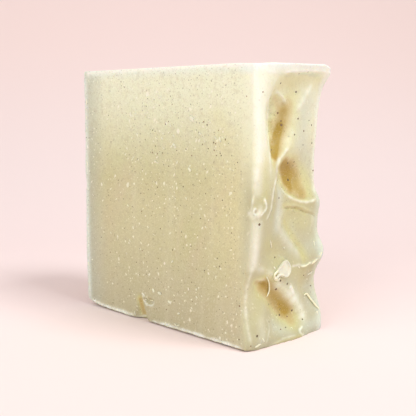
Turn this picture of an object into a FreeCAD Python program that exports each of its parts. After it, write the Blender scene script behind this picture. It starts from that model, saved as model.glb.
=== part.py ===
import FreeCAD, Part
import math
import os

from FreeCAD import Vector

# A hand-cut bar of soap: one slice of a poured loaf, stood on the side that lay against the mould
# Millimetres, +Z up, origin at the middle of the base
# The front wire cut faces -Y and the folded, spoon-textured top of the loaf faces +X

# Overall size of the slice
WIDTH = 68.0
THICKNESS = 28.5
HEIGHT = 70.0
TOP_RISE = 0.5

# Side that lay on the mould floor: its upper corner, and the worn lower corner, which turns
# on a small arc and then eases into the base on a wide, flat one
TOP_CORNER_RADIUS = 1.6
LOWER_CORNER_RADIUS = 2.2
WORN_RADIUS = 55.0
WORN_SLOPE = 11.0
# Small bevel round each wire cut
RIM_BEVEL = 0.45

# Rounding of the folded side where it meets the front cut and the base, as (reach, drop)
FRONT_ROUND = (2.4, 1.2)
BASE_ROUND = (1.6, 0.5)

# Relief lines of the folded side, each point as (depth behind the front cut, height, relief)
FOLDS = {
    "lip behind the front cut": (
        (0.0, 70.0, 0.0), (3.0, 67.0, 0.1), (0.0, 60.0, 0.0), (2.4, 61.0, 0.1), (0.0, 50.0, 0.0),
        (2.6, 52.0, 0.1), (0.0, 40.0, 0.0), (3.0, 43.5, 0.0), (3.2, 38.5, 0.0), (0.0, 33.0, -0.1),
        (2.5, 34.5, -0.1)),
    "rim of the lip": (
        (7.2, 66.3, -0.3), (5.4, 64.3, -0.3), (4.3, 61.8, -0.3), (4.0, 58.0, -0.3),
        (4.5, 54.0, -0.3), (5.0, 50.0, -0.4), (5.6, 46.8, -0.5)),
    "band under the upper edge": (
        (10.5, 68.2, -0.2), (15.0, 68.5, -0.2), (20.0, 68.8, -0.2), (25.0, 69.0, -0.1),
        (28.5, 69.4, 0.3), (14.0, 70.0, -0.2), (23.0, 70.0, -0.2)),
    "scoop under the band": (
        (9.5, 64.0, -3.0), (14.5, 64.6, -3.7), (18.0, 66.0, -3.1), (23.0, 66.9, -2.4),
        (26.0, 67.2, -1.6), (28.5, 67.4, -0.9), (28.5, 66.1, -1.8), (28.5, 64.7, -2.6),
        (28.5, 62.9, -3.1)),
    "blade between scoop and hollow": (
        (11.0, 62.2, -3.5), (12.7, 62.5, -3.3), (14.4, 61.3, -3.7), (15.8, 60.3, -4.1)),
    "upper hollow": (
        (7.6, 60.0, -4.6), (10.5, 60.3, -4.9), (7.8, 56.0, -5.4), (12.0, 57.2, -5.5),
        (12.5, 53.0, -5.7), (8.4, 51.5, -5.2), (11.0, 50.6, -4.9), (9.2, 48.7, -3.6),
        (7.4, 46.2, -1.8), (7.2, 44.0, -1.2)),
    "plateau": (
        (17.6, 54.0, -3.2), (17.9, 58.0, -3.2), (20.0, 61.0, -2.7), (22.2, 62.8, -2.5),
        (23.6, 64.2, -2.4), (22.0, 57.0, -3.1), (21.0, 50.0, -3.2), (24.5, 53.5, -3.6),
        (25.0, 60.0, -3.3), (15.6, 49.8, -2.6), (28.5, 61.0, -3.5), (28.5, 57.0, -4.0),
        (28.5, 50.0, -4.5), (28.5, 46.0, -4.9), (28.5, 42.0, -4.5), (28.5, 38.3, -4.8)),
    "crest from the plateau down the lip": (
        (13.0, 48.5, -2.0), (11.0, 47.6, -1.5), (9.6, 46.6, -1.1), (8.7, 45.3, -0.8),
        (8.6, 44.0, -0.7), (8.2, 42.2, -0.6), (7.2, 40.4, -0.6), (6.7, 38.0, -0.5),
        (6.2, 36.2, -0.5), (5.4, 34.2, -0.5), (3.9, 32.8, -0.5)),
    "brown pocket": (
        (11.8, 44.5, -4.6), (13.4, 42.0, -5.4), (16.4, 43.4, -6.0), (17.4, 41.0, -6.0),
        (20.0, 44.2, -5.6), (22.0, 42.0, -5.4), (19.0, 39.6, -5.5), (23.5, 40.2, -5.1),
        (26.0, 42.3, -4.6), (15.8, 46.3, -4.2), (19.0, 46.7, -3.8), (24.5, 38.2, -4.5)),
    "ridge under the pocket": (
        (15.3, 38.4, -4.0), (16.6, 37.4, -3.5), (18.2, 36.6, -3.1), (20.0, 36.1, -2.8),
        (22.7, 35.8, -2.6), (25.6, 35.8, -2.4), (28.5, 35.9, -2.1), (17.3, 35.5, -4.0),
        (20.2, 34.8, -3.3), (25.0, 34.1, -3.0), (28.5, 33.4, -2.9)),
    "crease under the ridge": (
        (15.9, 33.8, -4.7), (19.3, 33.4, -4.4), (23.0, 32.4, -4.0), (26.8, 31.3, -3.7),
        (28.5, 30.4, -3.0)),
    "flank beside the crest": (
        (11.0, 40.0, -2.8), (10.0, 37.5, -2.5), (12.4, 35.4, -3.6), (10.5, 33.3, -3.0),
        (13.8, 36.4, -4.0), (8.4, 31.0, -1.9), (4.0, 29.8, -0.8)),
    "diagonal ridge": (
        (11.8, 27.8, -2.6), (13.7, 26.3, -2.5), (15.8, 24.2, -2.5), (17.8, 22.2, -2.6),
        (20.0, 20.8, -2.8)),
    "valley behind the diagonal ridge": (
        (14.8, 29.2, -4.0), (17.7, 27.4, -4.3), (19.3, 25.4, -4.4), (21.0, 23.6, -4.4),
        (23.0, 21.4, -4.2)),
    "lobe at the back": (
        (22.4, 29.6, -3.3), (24.2, 27.0, -2.9), (24.4, 24.2, -3.1), (28.5, 27.0, -3.8),
        (28.5, 24.8, -2.5)),
    "shallow hollow above the shelf": (
        (6.3, 22.4, -2.8), (9.2, 23.4, -3.7), (12.6, 22.3, -4.3), (14.3, 21.0, -4.2),
        (9.1, 26.2, -2.6), (12.0, 24.8, -3.5)),
    "lower end of the lip": (
        (0.0, 28.5, -0.4), (3.5, 27.0, -0.9), (0.0, 25.0, -0.9), (2.5, 24.2, -1.3),
        (0.0, 21.0, -1.7)),
    "shelf across the middle": (
        (2.5, 19.3, -2.2), (5.5, 19.5, -2.2), (8.0, 18.8, -2.3), (11.0, 18.2, -2.4),
        (14.0, 19.0, -2.4), (16.2, 19.3, -2.4), (19.2, 18.8, -2.4), (22.8, 18.6, -2.3),
        (25.0, 19.0, -2.0), (26.5, 20.2, -1.2), (28.5, 21.6, 0.2), (28.5, 23.4, -0.8),
        (28.5, 19.4, -1.9)),
    "trough from the front cut to the base": (
        (0.0, 17.3, -2.8), (4.1, 16.4, -3.9), (8.6, 14.0, -5.1), (11.9, 10.6, -6.0),
        (15.1, 8.0, -6.0), (17.4, 5.6, -5.5), (20.0, 3.6, -4.5)),
    "ridge behind the trough": (
        (13.2, 15.8, -3.3), (15.1, 14.6, -3.1), (17.2, 12.7, -3.0), (19.3, 10.8, -3.1),
        (21.4, 8.2, -3.2), (22.8, 5.6, -3.1), (23.6, 3.0, -2.9)),
    "flank at the back": (
        (20.6, 16.4, -3.9), (22.5, 14.0, -4.7), (25.6, 12.0, -5.1), (26.0, 15.5, -4.6),
        (26.2, 9.0, -4.0), (28.5, 16.8, -3.7), (28.5, 12.5, -4.1), (28.5, 9.4, -3.1),
        (28.5, 6.5, -1.8), (28.5, 3.0, -1.1)),
    "lobe in the lower front corner": (
        (0.0, 13.2, -3.4), (0.0, 10.0, -3.6), (0.0, 7.0, -3.1), (0.0, 4.0, -2.1),
        (4.5, 11.8, -2.9), (4.8, 8.0, -2.4), (6.4, 4.8, -2.3), (8.4, 11.6, -3.7),
        (8.2, 8.4, -3.2), (8.1, 5.6, -2.9)),
    "foot": (
        (11.5, 3.6, -3.7), (14.8, 3.2, -3.5), (6.4, 1.3, -2.0), (9.2, 1.3, -1.9),
        (12.6, 1.3, -1.7), (16.7, 1.3, -1.2), (20.2, 1.3, -1.3), (2.0, 0.0, -1.9),
        (6.0, 0.0, -1.6), (10.0, 0.0, -1.3), (12.6, 0.0, -0.9), (16.7, 0.0, -0.3),
        (20.0, 0.0, -0.5), (23.0, 0.0, -0.9), (26.3, 0.0, -1.4), (28.5, 0.0, -1.1)),
}
# Softness of the creases, and the spacing of the net that shapes the folded surface
CREASE_SOFTNESS = 1.0
NET_SPACING = 3.0
NET_MARGIN = 0.8
NET_DEGREE = 3

# Chip out of the lower edge of the front cut, narrowing upwards
NOTCH_WIDTH = 6.4
NOTCH_DEPTH = 2.9
NOTCH_HEIGHT = 8.0
NOTCH_FROM_FOLDS = 39.7
NOTCH_LEAN = 3.5
# Small crater beside the chip, as a groove with round ends
CRATER_LENGTH = 4.2
CRATER_RADIUS = 0.9
CRATER_DEPTH = 0.75
CRATER_FROM_FOLDS = 37.6
CRATER_HEIGHT = 6.2
# Dent in the edge between the front cut and the lip, left by a ball-shaped press
DENT_RADIUS = 4.0
DENT_DEPTH = 0.8
DENT_HEIGHT = 37.4
# Curled shaving stuck on the shelf: outline in its own plane, its seat and how far it is sunk in
FLAKE_OUTLINE = ((-3.6, -1.4), (-2.2, 0.3), (-0.5, 2.0), (0.8, 2.5), (1.7, 1.3), (2.7, 0.1),
                 (2.3, -1.6), (0.7, -2.1), (-1.6, -2.0))
FLAKE_THICKNESS = 0.8
FLAKE_DEPTH = 13.2
FLAKE_HEIGHT = 19.2
FLAKE_SUNK = 0.7
FLAKE_TURN = -18.0
FLAKE_LEAN = 14.0

LEFT = -WIDTH / 2
RIGHT = WIDTH / 2
FRONT = -THICKNESS / 2
DRAWN_DEPTH = max(point[0] for line in FOLDS.values() for point in line)
DRAWN_HEIGHT = max(point[1] for line in FOLDS.values() for point in line)
HIGHEST = max(point[2] for line in FOLDS.values() for point in line)
DEEPEST = min(point[2] for line in FOLDS.values() for point in line)
STOCK = HIGHEST + 1.0


def arc(centre_x, centre_z, radius, first, last):
    """Arc in the plane of the front cut, between two angles in degrees, with its two ends."""
    places = []
    for angle in (first, (first + last) / 2, last):
        turn = math.radians(angle)
        places.append(Vector(centre_x + radius * math.cos(turn), FRONT,
                             centre_z + radius * math.sin(turn)))
    return Part.Arc(*places).toShape(), places[0], places[-1]


def slice_outline():
    """Closed outline of the slice in the plane of the front cut, with stock beyond the folds."""
    top = HEIGHT + TOP_RISE
    slope = math.radians(WORN_SLOPE)
    joint_height = WORN_RADIUS * (1 - math.cos(slope))
    upper, top_start, side_top = arc(
        LEFT + TOP_CORNER_RADIUS, top - TOP_CORNER_RADIUS, TOP_CORNER_RADIUS, 90, 180)
    lower, side_foot, joint = arc(
        LEFT + LOWER_CORNER_RADIUS, joint_height + LOWER_CORNER_RADIUS * math.cos(slope),
        LOWER_CORNER_RADIUS, 180, 270 - WORN_SLOPE)
    worn, _, base_start = arc(
        joint.x + WORN_RADIUS * math.sin(slope), WORN_RADIUS, WORN_RADIUS, 270 - WORN_SLOPE, 270)
    base_end = Vector(RIGHT + STOCK, FRONT, 0)
    top_end = Vector(RIGHT + STOCK, FRONT, top)
    return Part.Wire([
        upper,
        Part.makeLine(side_top, side_foot),
        lower,
        worn,
        Part.makeLine(base_start, base_end),
        Part.makeLine(base_end, top_end),
        Part.makeLine(top_end, top_start)])


def blank():
    """The slice between its two wire cuts, before the folded side is cut to shape."""
    body = Part.Face(slice_outline()).extrude(Vector(0, THICKNESS, 0))
    rims = []
    for edge in body.Edges:
        box = edge.BoundBox
        if box.YLength < RIM_BEVEL and box.XMin < RIGHT:
            rims.append(edge)
    body = body.makeChamfer(RIM_BEVEL, rims)
    above = Part.makeBox(2 * WIDTH, 2 * THICKNESS, HEIGHT, Vector(-WIDTH, -THICKNESS / 2, 0))
    above.rotate(Vector(), Vector(1, 0, 0), math.degrees(math.atan2(TOP_RISE, THICKNESS)))
    above.translate(Vector(0, FRONT, HEIGHT))
    return body.cut(above)


def solve(rows, values):
    """Solution of a square set of linear equations, by elimination with row exchange."""
    size = len(values)
    table = [list(row) + [value] for row, value in zip(rows, values)]
    for column in range(size):
        best = max(range(column, size), key=lambda row: abs(table[row][column]))
        table[column], table[best] = table[best], table[column]
        pivot = table[column]
        for row in range(column + 1, size):
            factor = table[row][column] / pivot[column]
            if factor:
                table[row] = [a - factor * b for a, b in zip(table[row], pivot)]
    answer = [0.0] * size
    for row in reversed(range(size)):
        known = sum(table[row][k] * answer[k] for k in range(row + 1, size))
        answer[row] = (table[row][size] - known) / table[row][row]
    return answer


def relief_field():
    """Smooth relief through all the fold lines, as a function of depth and height."""
    points = [point for line in FOLDS.values() for point in line]

    def spread(depth, height, point):
        return math.sqrt((depth - point[0]) ** 2 + (height - point[1]) ** 2 + CREASE_SOFTNESS ** 2)

    rows = [[spread(a[0], a[1], b) for b in points] for a in points]
    weights = solve(rows, [point[2] for point in points])

    def relief(depth, height):
        drawn = (depth * DRAWN_DEPTH / THICKNESS, height * DRAWN_HEIGHT / HEIGHT)
        return sum(w * spread(drawn[0], drawn[1], p) for w, p in zip(weights, points))

    return relief


def edge_drop(distance, rounding):
    """Fall of the folded side within reach of an edge that is rounded over."""
    reach, drop = rounding
    if distance >= reach:
        return 0.0
    return drop * (1 - distance / reach) ** 2


def knot_places(length):
    """Even spans of the folded surface along one side of the slice and a little past its ends."""
    whole = length + 2 * NET_MARGIN
    count = max(NET_DEGREE, round(whole / NET_SPACING))
    return [-NET_MARGIN + whole * k / count for k in range(count + 1)]


def pole_places(knots):
    """Place of each row of the net, as the mean of the knots that it answers to."""
    full = [knots[0]] * NET_DEGREE + knots + [knots[-1]] * NET_DEGREE
    rows = len(full) - NET_DEGREE - 1
    return [sum(full[k + 1:k + 1 + NET_DEGREE]) / NET_DEGREE for k in range(rows)]


def folded_surface(relief):
    """The folded side as one smooth surface, a little larger than the slice."""
    depth_knots = knot_places(THICKNESS)
    height_knots = knot_places(HEIGHT + TOP_RISE)
    net = []
    for depth in pole_places(depth_knots):
        row = []
        for height in pole_places(height_knots):
            drop = edge_drop(depth, FRONT_ROUND) + edge_drop(height, BASE_ROUND)
            row.append(Vector(RIGHT + relief(depth, height) - drop, FRONT + depth, height))
        net.append(row)
    ends = [NET_DEGREE + 1]
    surface = Part.BSplineSurface()
    surface.buildFromPolesMultsKnots(
        net,
        ends + [1] * (len(depth_knots) - 2) + ends,
        ends + [1] * (len(height_knots) - 2) + ends,
        depth_knots, height_knots, False, False, NET_DEGREE, NET_DEGREE)
    return surface


def cut_folds(body, relief):
    """The slice with everything beyond the folded surface taken away."""
    reach = STOCK - DEEPEST + FRONT_ROUND[1] + BASE_ROUND[1]
    beyond = folded_surface(relief).toShape().extrude(Vector(2 * reach, 0, 0))
    return body.cut(beyond)


def notch():
    """Wedge that the chip leaves open: a steep wall towards the folds and a long slope away."""
    outside = NOTCH_DEPTH / 2
    tip_share = 0.08

    def plan(share, height):
        steep = RIGHT - NOTCH_FROM_FOLDS - NOTCH_LEAN * (1 - share)
        far = Vector(steep - NOTCH_WIDTH * share, FRONT, height)
        near = Vector(steep, FRONT, height)
        deep = Vector(steep - NOTCH_WIDTH * share / 5, FRONT + NOTCH_DEPTH * share, height)
        middle = (far + deep) / 2 + Vector(0, NOTCH_DEPTH * share / 8, 0)
        out = Vector(0, -outside, 0)
        return Part.Wire([
            Part.Arc(far, middle, deep).toShape(),
            Part.makeLine(deep, near),
            Part.makeLine(near, near + out),
            Part.makeLine(near + out, far + out),
            Part.makeLine(far + out, far)])

    below = NOTCH_HEIGHT / 8
    return Part.makeLoft([plan(1 + 1 / 8, -below), plan(tip_share, NOTCH_HEIGHT)], True, True)


def crater():
    """Groove with round ends, scooped out of the front cut."""
    straight = CRATER_LENGTH - 2 * CRATER_RADIUS
    start = Vector(RIGHT - CRATER_FROM_FOLDS - CRATER_LENGTH + CRATER_RADIUS,
                   FRONT - CRATER_RADIUS + CRATER_DEPTH, CRATER_HEIGHT)
    groove = Part.makeCylinder(CRATER_RADIUS, straight, start, Vector(1, 0, 0))
    first = Part.makeSphere(CRATER_RADIUS, start)
    last = Part.makeSphere(CRATER_RADIUS, start + Vector(straight, 0, 0))
    return groove.fuse([first, last])


def dent(relief):
    """Ball pressed into the rounded edge of the lip, square to the corner."""
    corner = Vector(RIGHT + relief(0, DENT_HEIGHT), FRONT, DENT_HEIGHT)
    away = DENT_RADIUS - DENT_DEPTH
    outwards = Vector(1, -1, 0).normalize()
    return Part.makeSphere(DENT_RADIUS, corner + outwards * away)


def flake(relief):
    """Curled shaving, seated with its lower side sunk in the shelf."""
    points = [Vector(0, across, up) for across, up in FLAKE_OUTLINE]
    outline = Part.BSplineCurve()
    outline.interpolate(Points=points, PeriodicFlag=True)
    plate = Part.Face(Part.Wire([outline.toShape()])).extrude(Vector(FLAKE_THICKNESS, 0, 0))
    plate.rotate(Vector(), Vector(0, 1, 0), -FLAKE_LEAN)
    plate.rotate(Vector(), Vector(0, 0, 1), FLAKE_TURN)
    seat = RIGHT + relief(FLAKE_DEPTH, FLAKE_HEIGHT) - FLAKE_SUNK
    plate.translate(Vector(seat, FRONT + FLAKE_DEPTH, FLAKE_HEIGHT))
    return plate


def soap_bar():
    relief = relief_field()
    bar = cut_folds(blank(), relief)
    for gap in (notch(), crater(), dent(relief)):
        bar = bar.cut(gap)
    return bar.fuse(flake(relief)).Solids[0]


os.makedirs("parts", exist_ok=True)
soap_bar().exportStep("parts/soap_bar.step")
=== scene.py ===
import math
from contextlib import contextmanager

import bpy
import numpy as np
from bpy.props import FloatProperty, FloatVectorProperty, IntProperty, PointerProperty
from mathutils import Euler, Matrix, Vector, noise
from mathutils.bvhtree import BVHTree
from mathutils.kdtree import KDTree


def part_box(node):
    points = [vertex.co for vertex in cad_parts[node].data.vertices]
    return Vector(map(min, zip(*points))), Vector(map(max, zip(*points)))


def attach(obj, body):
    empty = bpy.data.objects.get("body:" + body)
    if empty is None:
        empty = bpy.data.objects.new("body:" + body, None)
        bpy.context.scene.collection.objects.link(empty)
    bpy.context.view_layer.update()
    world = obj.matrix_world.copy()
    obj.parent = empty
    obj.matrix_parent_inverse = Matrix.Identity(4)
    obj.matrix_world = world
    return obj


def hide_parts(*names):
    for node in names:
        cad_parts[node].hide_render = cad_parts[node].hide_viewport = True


bl_info = {
    "name": "Hand-cut soap bar",
    "version": (1, 0, 0),
    "blender": (4, 5, 0),
    "location": "3D View > Sidebar > Soap",
    "description": "Dresses the plain bar with its folds, crests, crumbs, specks and waxy finish",
    "category": "Object",
}

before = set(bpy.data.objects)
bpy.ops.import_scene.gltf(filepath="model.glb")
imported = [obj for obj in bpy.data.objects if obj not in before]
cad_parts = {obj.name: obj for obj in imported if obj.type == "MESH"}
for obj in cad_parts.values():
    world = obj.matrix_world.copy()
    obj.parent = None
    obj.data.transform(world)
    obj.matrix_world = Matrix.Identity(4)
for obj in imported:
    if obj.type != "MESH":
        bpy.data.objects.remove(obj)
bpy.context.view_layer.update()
NODE = "soap_bar"
BODY = "root"

MM = 0.001
LOW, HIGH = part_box(NODE)
LEFT = LOW.x
FRONT = LOW.y
BACK = HIGH.y
TOP = HIGH.z

# Width of the picture that the marks below are read in, in pixels, and where the eye stands.
# Marks are flat runs of x and y.
PICTURE = 416
EYE = Vector((0.14767, -0.14450, 0.05973))
EYE_TILT = 7.784
EYE_TURN = 44.92
EYE_ROTATION = Euler((math.radians(90 - EYE_TILT), 0, math.radians(EYE_TURN)))
LENS = 64.0
SENSOR = 36.0

# Crests and creases of the folded side: lift in mm, half width in mm, paleness (painted
# highlight along the crest, with the white of burrs on the lower front edge), marks in pixels
CRESTS = {
    "rim of the lip": (0.24, 0.38, 0.6, (278.8, 75, 273.9, 84, 271.5, 91.4, 268, 99.8, 267.4, 109.5,
        267, 127, 268.2, 141, 269.6, 155, 270.6, 168, 271, 180)),
    "beside the rim": (-0.4, 0.6, 0, (275.8, 85, 273.8, 91.6, 270.6, 99.8, 270, 109.5, 269.6, 127,
        270.8, 141, 272.2, 155, 273.2, 167)),
    "front of the lip": (0.06, 0.9, 0.6, (256, 74, 257.4, 84, 258.6, 98, 258.8, 116, 259.2, 136,
        258.4, 156, 256.6, 176, 254.6, 194)),
    "edge of the band": (0.3, 0.4, 0.9, (282.4, 72.6, 291, 71.4, 307, 70.8, 322, 71, 326.6, 72.6)),
    "step into the band": (0.15, 0.35, 0.6, (259.4, 69.5, 268, 71, 277, 72.8)),
    "under the band": (-0.4, 0.6, 0, (284, 76, 292, 74.4, 307, 73.8, 320, 74.4)),
    "blade": (0.45, 0.4, 0.55, (276.4, 91.8, 278.4, 93.2, 282.4, 97.4, 286, 102.9)),
    "under the blade": (-0.3, 0.6, 0, (274, 95, 277, 98, 281, 102, 284, 106)),
    "ridge of the plateau": (0.26, 0.7, 0.42, (297.2, 110, 301.2, 104.7, 304.4, 98.3, 308.5, 91.4,
        312, 84.6)),
    "shoulder of the plateau": (0.15, 1.1, 0.2, (284.7, 150.3, 288.9, 137.7, 291, 127.2,
        293.1, 116.6)),
    "start of the upper crest": (0.2, 1, 0.25, (292, 132, 290, 140, 287.4, 149.4)),
    "upper crest": (0.4, 0.46, 0.68, (288.4, 147, 283.2, 155, 279, 160.4, 277, 166, 276.8, 171,
        277.4, 176)),
    "right edge of the lip": (0.22, 0.34, 0.55, (278, 173.5, 275.6, 181.3, 273.8, 190, 272.5, 199.6,
        271.2, 209, 268.7, 215.5, 266.1, 220)),
    "beside the lip": (-0.42, 0.75, 0, (280.6, 178, 278.2, 184, 276.4, 191, 275.2, 199.6, 274, 208,
        271.8, 215.5, 269, 221)),
    "edge of the pocket": (0.42, 0.42, 0.75, (286.6, 194.9, 293.5, 199.2, 300.4, 201.5, 307.3, 202,
        312.7, 200.9, 316.5, 198)),
    "start of the pocket's edge": (0.16, 0.3, 0.5, (281.4, 187.6, 283.6, 191.6, 286.6, 194.9)),
    "foot of the pocket": (-0.35, 0.55, 0, (280.5, 184, 283.6, 188.4, 288.6, 193, 295.1, 196.6,
        302.7, 198.5, 309.6, 198.2)),
    "crease": (-0.5, 0.4, 0, (282.8, 208.9, 288.2, 207.9, 295.1, 207.9, 301.2, 210, 305.8, 212.7,
        311.5, 214.2, 314, 216.5, 314.6, 219.6)),
    "fold over the crease": (0.2, 0.5, 0.15, (284, 206.2, 290, 205.4, 296, 205.5, 302, 207.6,
        307, 210.2, 312, 211.6)),
    "ridge down the flank": (0.2, 1.3, 0.24, (283.6, 208.9, 279.8, 216.5, 279, 228, 285.1, 238,
        292.8, 247.2, 300, 256.5)),
    "valley": (-0.4, 0.9, 0, (283.5, 221, 288.4, 231.9, 295.1, 242.6, 300.6, 251, 303.5, 259)),
    "facet at the back": (0.08, 0.35, 0.2, (312, 217.3, 312, 223.4, 309.8, 229.6)),
    "jagged crest": (0.42, 0.34, 0.75, (290.4, 266.7, 296.3, 265.6, 298.5, 264.7, 302.5, 266.1,
        306.1, 265.6, 309.6, 262.9, 312.3, 263.2, 314.6, 260.7, 316.8, 259.2, 319, 258.3,
        320.4, 254.9, 321.4, 251.8)),
    "shelf": (0.25, 1, 0.35, (255.3, 269.1, 262.9, 270.6, 269.8, 273.7, 272.9, 275.2)),
    "ridge behind the trough": (0.3, 1.2, 0.7, (276, 281.8, 282, 287.5, 288.6, 294, 295.5, 301,
        300.4, 309, 303, 317, 303, 322)),
    "streak on the ridge": (0.25, 0.45, 0.8, (290.3, 285.8, 292.6, 290.4, 294.3, 294.9)),
    "upper edge of the trough": (0.2, 0.45, 0.25, (255.3, 280, 262.1, 280, 266, 280.4)),
    "under the upper edge": (-0.4, 0.6, 0, (258, 283.2, 263, 283.4, 266, 284)),
    "edge of the lobe": (0.18, 0.36, 0.3, (266, 318.7, 268.8, 323.2, 269.4, 330, 267.7, 339.1,
        266, 343.4)),
    "bright bend of the lip": (0.05, 0.8, 0.6, (256.6, 236, 255.6, 243.8, 255.5, 253.8, 253.6, 264,
        251, 273)),
    "front line of the lip": (0.05, 0.42, 0.42, (252.4, 269.5, 248.8, 280.6, 246.6, 289,
        245.4, 301.2, 245.8, 312.7, 247.4, 326.5, 249.9, 338, 251.4, 346)),
    "line over the foot": (0.1, 0.26, 0.34, (268.3, 346.6, 272.2, 345.1, 278.4, 341.7, 283.5, 338.5,
        291.5, 336.2, 296, 335.5)),
    "rim of the chip": (0.25, 0.3, 0.75, (302.8, 326, 299.9, 329.6, 300, 332, 301.7, 334,
        304.6, 336.4)),
    "left line of the dent": (0.16, 0.28, 0.5, (254.3, 194.8, 252.8, 200.5, 251.8, 206,
        251, 210.5)),
    "curl in the dent": (0.26, 0.26, 0.85, (256.2, 208.4, 254.4, 209.6, 253.8, 211.5, 254.3, 213.6,
        256.3, 215.6)),
    "heel of the dent": (0.14, 0.8, 0.5, (250.4, 213, 251.4, 216, 254, 218.2)),
    "lobe of the dent": (0.18, 0.85, 0.7, (260.8, 207, 260, 212, 258, 216.8)),
    "right of the dent": (0.24, 0.28, 0.8, (264.9, 198, 265.2, 201.2, 266.6, 204.3, 266.6, 207.9,
        265.5, 210.4, 263, 213, 260.6, 216.6)),
    "hole in the dent": (-0.5, 0.3, 0, (256, 211.8, 256, 213.2)),
    "rim of the crater": (0.12, 0.24, 0.65, (144.8, 299.6, 145.2, 301.8, 146.8, 304.8, 149.2, 305.2,
        151.5, 305.6, 153.4, 304.2, 154.6, 302)),
    "scratch": (0.08, 0.22, 0.8, (141.6, 292.6, 144.5, 296)),
    "ledge of the notch": (0.05, 0.3, 0.7, (136.3, 316.3, 141, 316, 147, 315.6)),
    "lower front edge": (0.14, 0.5, 1, (91, 299, 96, 301.6, 102.5, 304.8, 114.2, 309.3,
        125.8, 312.8, 134.6, 315.8)),
    "lower front edge past the notch": (0.12, 0.42, 1, (150.6, 320.4, 157.3, 322.6, 166.7, 325.2,
        178.3, 328.6, 193.5, 333.4, 207.5, 338, 225, 343.4, 242.5, 348.6)),
}

# Broad tones, mostly on the folded side: strength, half width in mm, marks in pixels. Golden is
# painted shade, yellow to brown, in the hollows, creases and under overhangs; pale is painted
# highlight on lips and thin edges, which also glow with light let through; ash is the grey of the
# ridges; dim is a plain painted shade on facets, flanks, the foot and under the arc.
GOLDEN_SHADE = {
    "head of the hollow": (0.36, 3, (287, 103, 285, 111)),
    "upper hollow": (0.57, 3.2, (283.4, 112, 280.6, 127, 277, 141, 275.6, 154)),
    "core of the hollow": (0.86, 1.8, (279.6, 126, 277.6, 133, 275.4, 143, 274.6, 156)),
    "under the rim": (0.5, 1.2, (271.4, 122, 272.2, 138, 273.6, 154, 274.4, 166)),
    "side of the hollow": (0.46, 3, (288.4, 106, 289, 118, 287, 131, 283, 145)),
    "scoop": (0.32, 3.4, (281, 84, 288, 81, 296, 78.4, 306, 76.6, 316, 76)),
    "under the band": (0.22, 1, (282, 76, 292, 74.4, 307, 73.8, 320, 74.4)),
    "middle of the scoop": (0.36, 3, (286, 80, 289, 85, 293, 92, 291, 101)),
    "lower lip": (0.2, 1.8, (264, 166, 266, 182, 265, 200)),
    "facet under the blade": (0.52, 1.8, (274, 99, 278, 105, 279, 111)),
    "brown pocket": (1, 2.5, (283, 164, 284.4, 172, 286, 180)),
    "foot of the pocket": (0.72, 2.2, (286, 180, 290, 188)),
    "middle of the pocket": (0.74, 3.3, (289, 166, 293, 176, 296, 186, 300, 192)),
    "end of the pocket": (0.36, 2.8, (300, 172, 304, 182, 306, 191)),
    "under the ridge": (0.42, 1.1, (284.4, 205.8, 291, 206.6, 299, 208.2, 306, 211.4)),
    "facet": (0.25, 3.6, (290, 214, 300, 222)),
    "valley": (0.4, 1.4, (284.5, 222, 289, 232, 295.5, 242.6, 301, 251, 304, 259)),
    "hollow over the shelf": (0.2, 2.6, (268, 244, 273, 254, 276, 261)),
    "behind the shaving": (0.2, 2.6, (296, 270, 304, 271, 300, 282)),
    "trough": (0.82, 3.2, (262, 285, 266.6, 290, 272.6, 297, 278.6, 304, 284, 310)),
    "end of the trough": (0.52, 3, (284, 310, 288, 317, 290, 321)),
    "side of the trough": (0.36, 2.4, (274, 284, 281, 292, 288, 300, 293, 309, 296, 317)),
    "head of the trough": (0.6, 1.2, (256, 282.4, 260, 283.4, 266, 284)),
    "lobe": (0.16, 2.6, (256, 296, 259, 306, 258, 318)),
    "foot": (0.55, 0.9, (274, 346, 284, 342, 292, 339.4, 301, 336.8)),
    "notch": (0.75, 1, (140.6, 299, 142, 304, 143.4, 309, 144.6, 314)),
    "smear on the face": (0.16, 2.6, (218, 116, 222, 128, 224, 140)),
}
PALE_HIGHLIGHT = {
    "lip": (0.62, 1.4, (254, 76, 257.5, 88, 258.5, 104, 259, 124, 259.6, 144, 259.6, 160)),
    "lower lip": (0.34, 1.2, (259.6, 164, 259, 180, 258, 192)),
    "side of the lip": (0.48, 1.6, (263, 80, 263.5, 100, 263.5, 124, 265, 144)),
    "band": (0.3, 1.2, (258, 67, 272, 67.4, 290, 67.2, 308, 67, 322, 67.6, 328, 70)),
    "lip under the dent": (0.55, 1.6, (257, 226, 256, 238, 255.6, 250, 254, 264)),
    "tip of the back corner": (0.6, 1, (327, 71, 326, 77, 322.6, 84)),
    "flank": (0.15, 1.6, (279, 196, 279, 206, 277.4, 216)),
    "back edge": (0.45, 0.8, (323.4, 86, 319, 98, 316.8, 112, 315.6, 130, 314.6, 146, 313.4, 160,
        313.6, 176, 314.2, 190)),
    "lobe": (0.22, 1.5, (261, 322, 263, 332, 262, 340)),
    "left edge": (0.45, 0.45, (85.6, 80, 86, 104, 86.6, 130, 87, 160, 87.6, 190, 88, 220, 88.6, 250,
        89.4, 280, 90, 296)),
    "top front edge": (0.85, 0.55, (88, 73.4, 110, 71.8, 135, 70.4, 160, 69, 185, 67.6, 210, 66,
        235, 65, 252, 64.6)),
}
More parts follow.
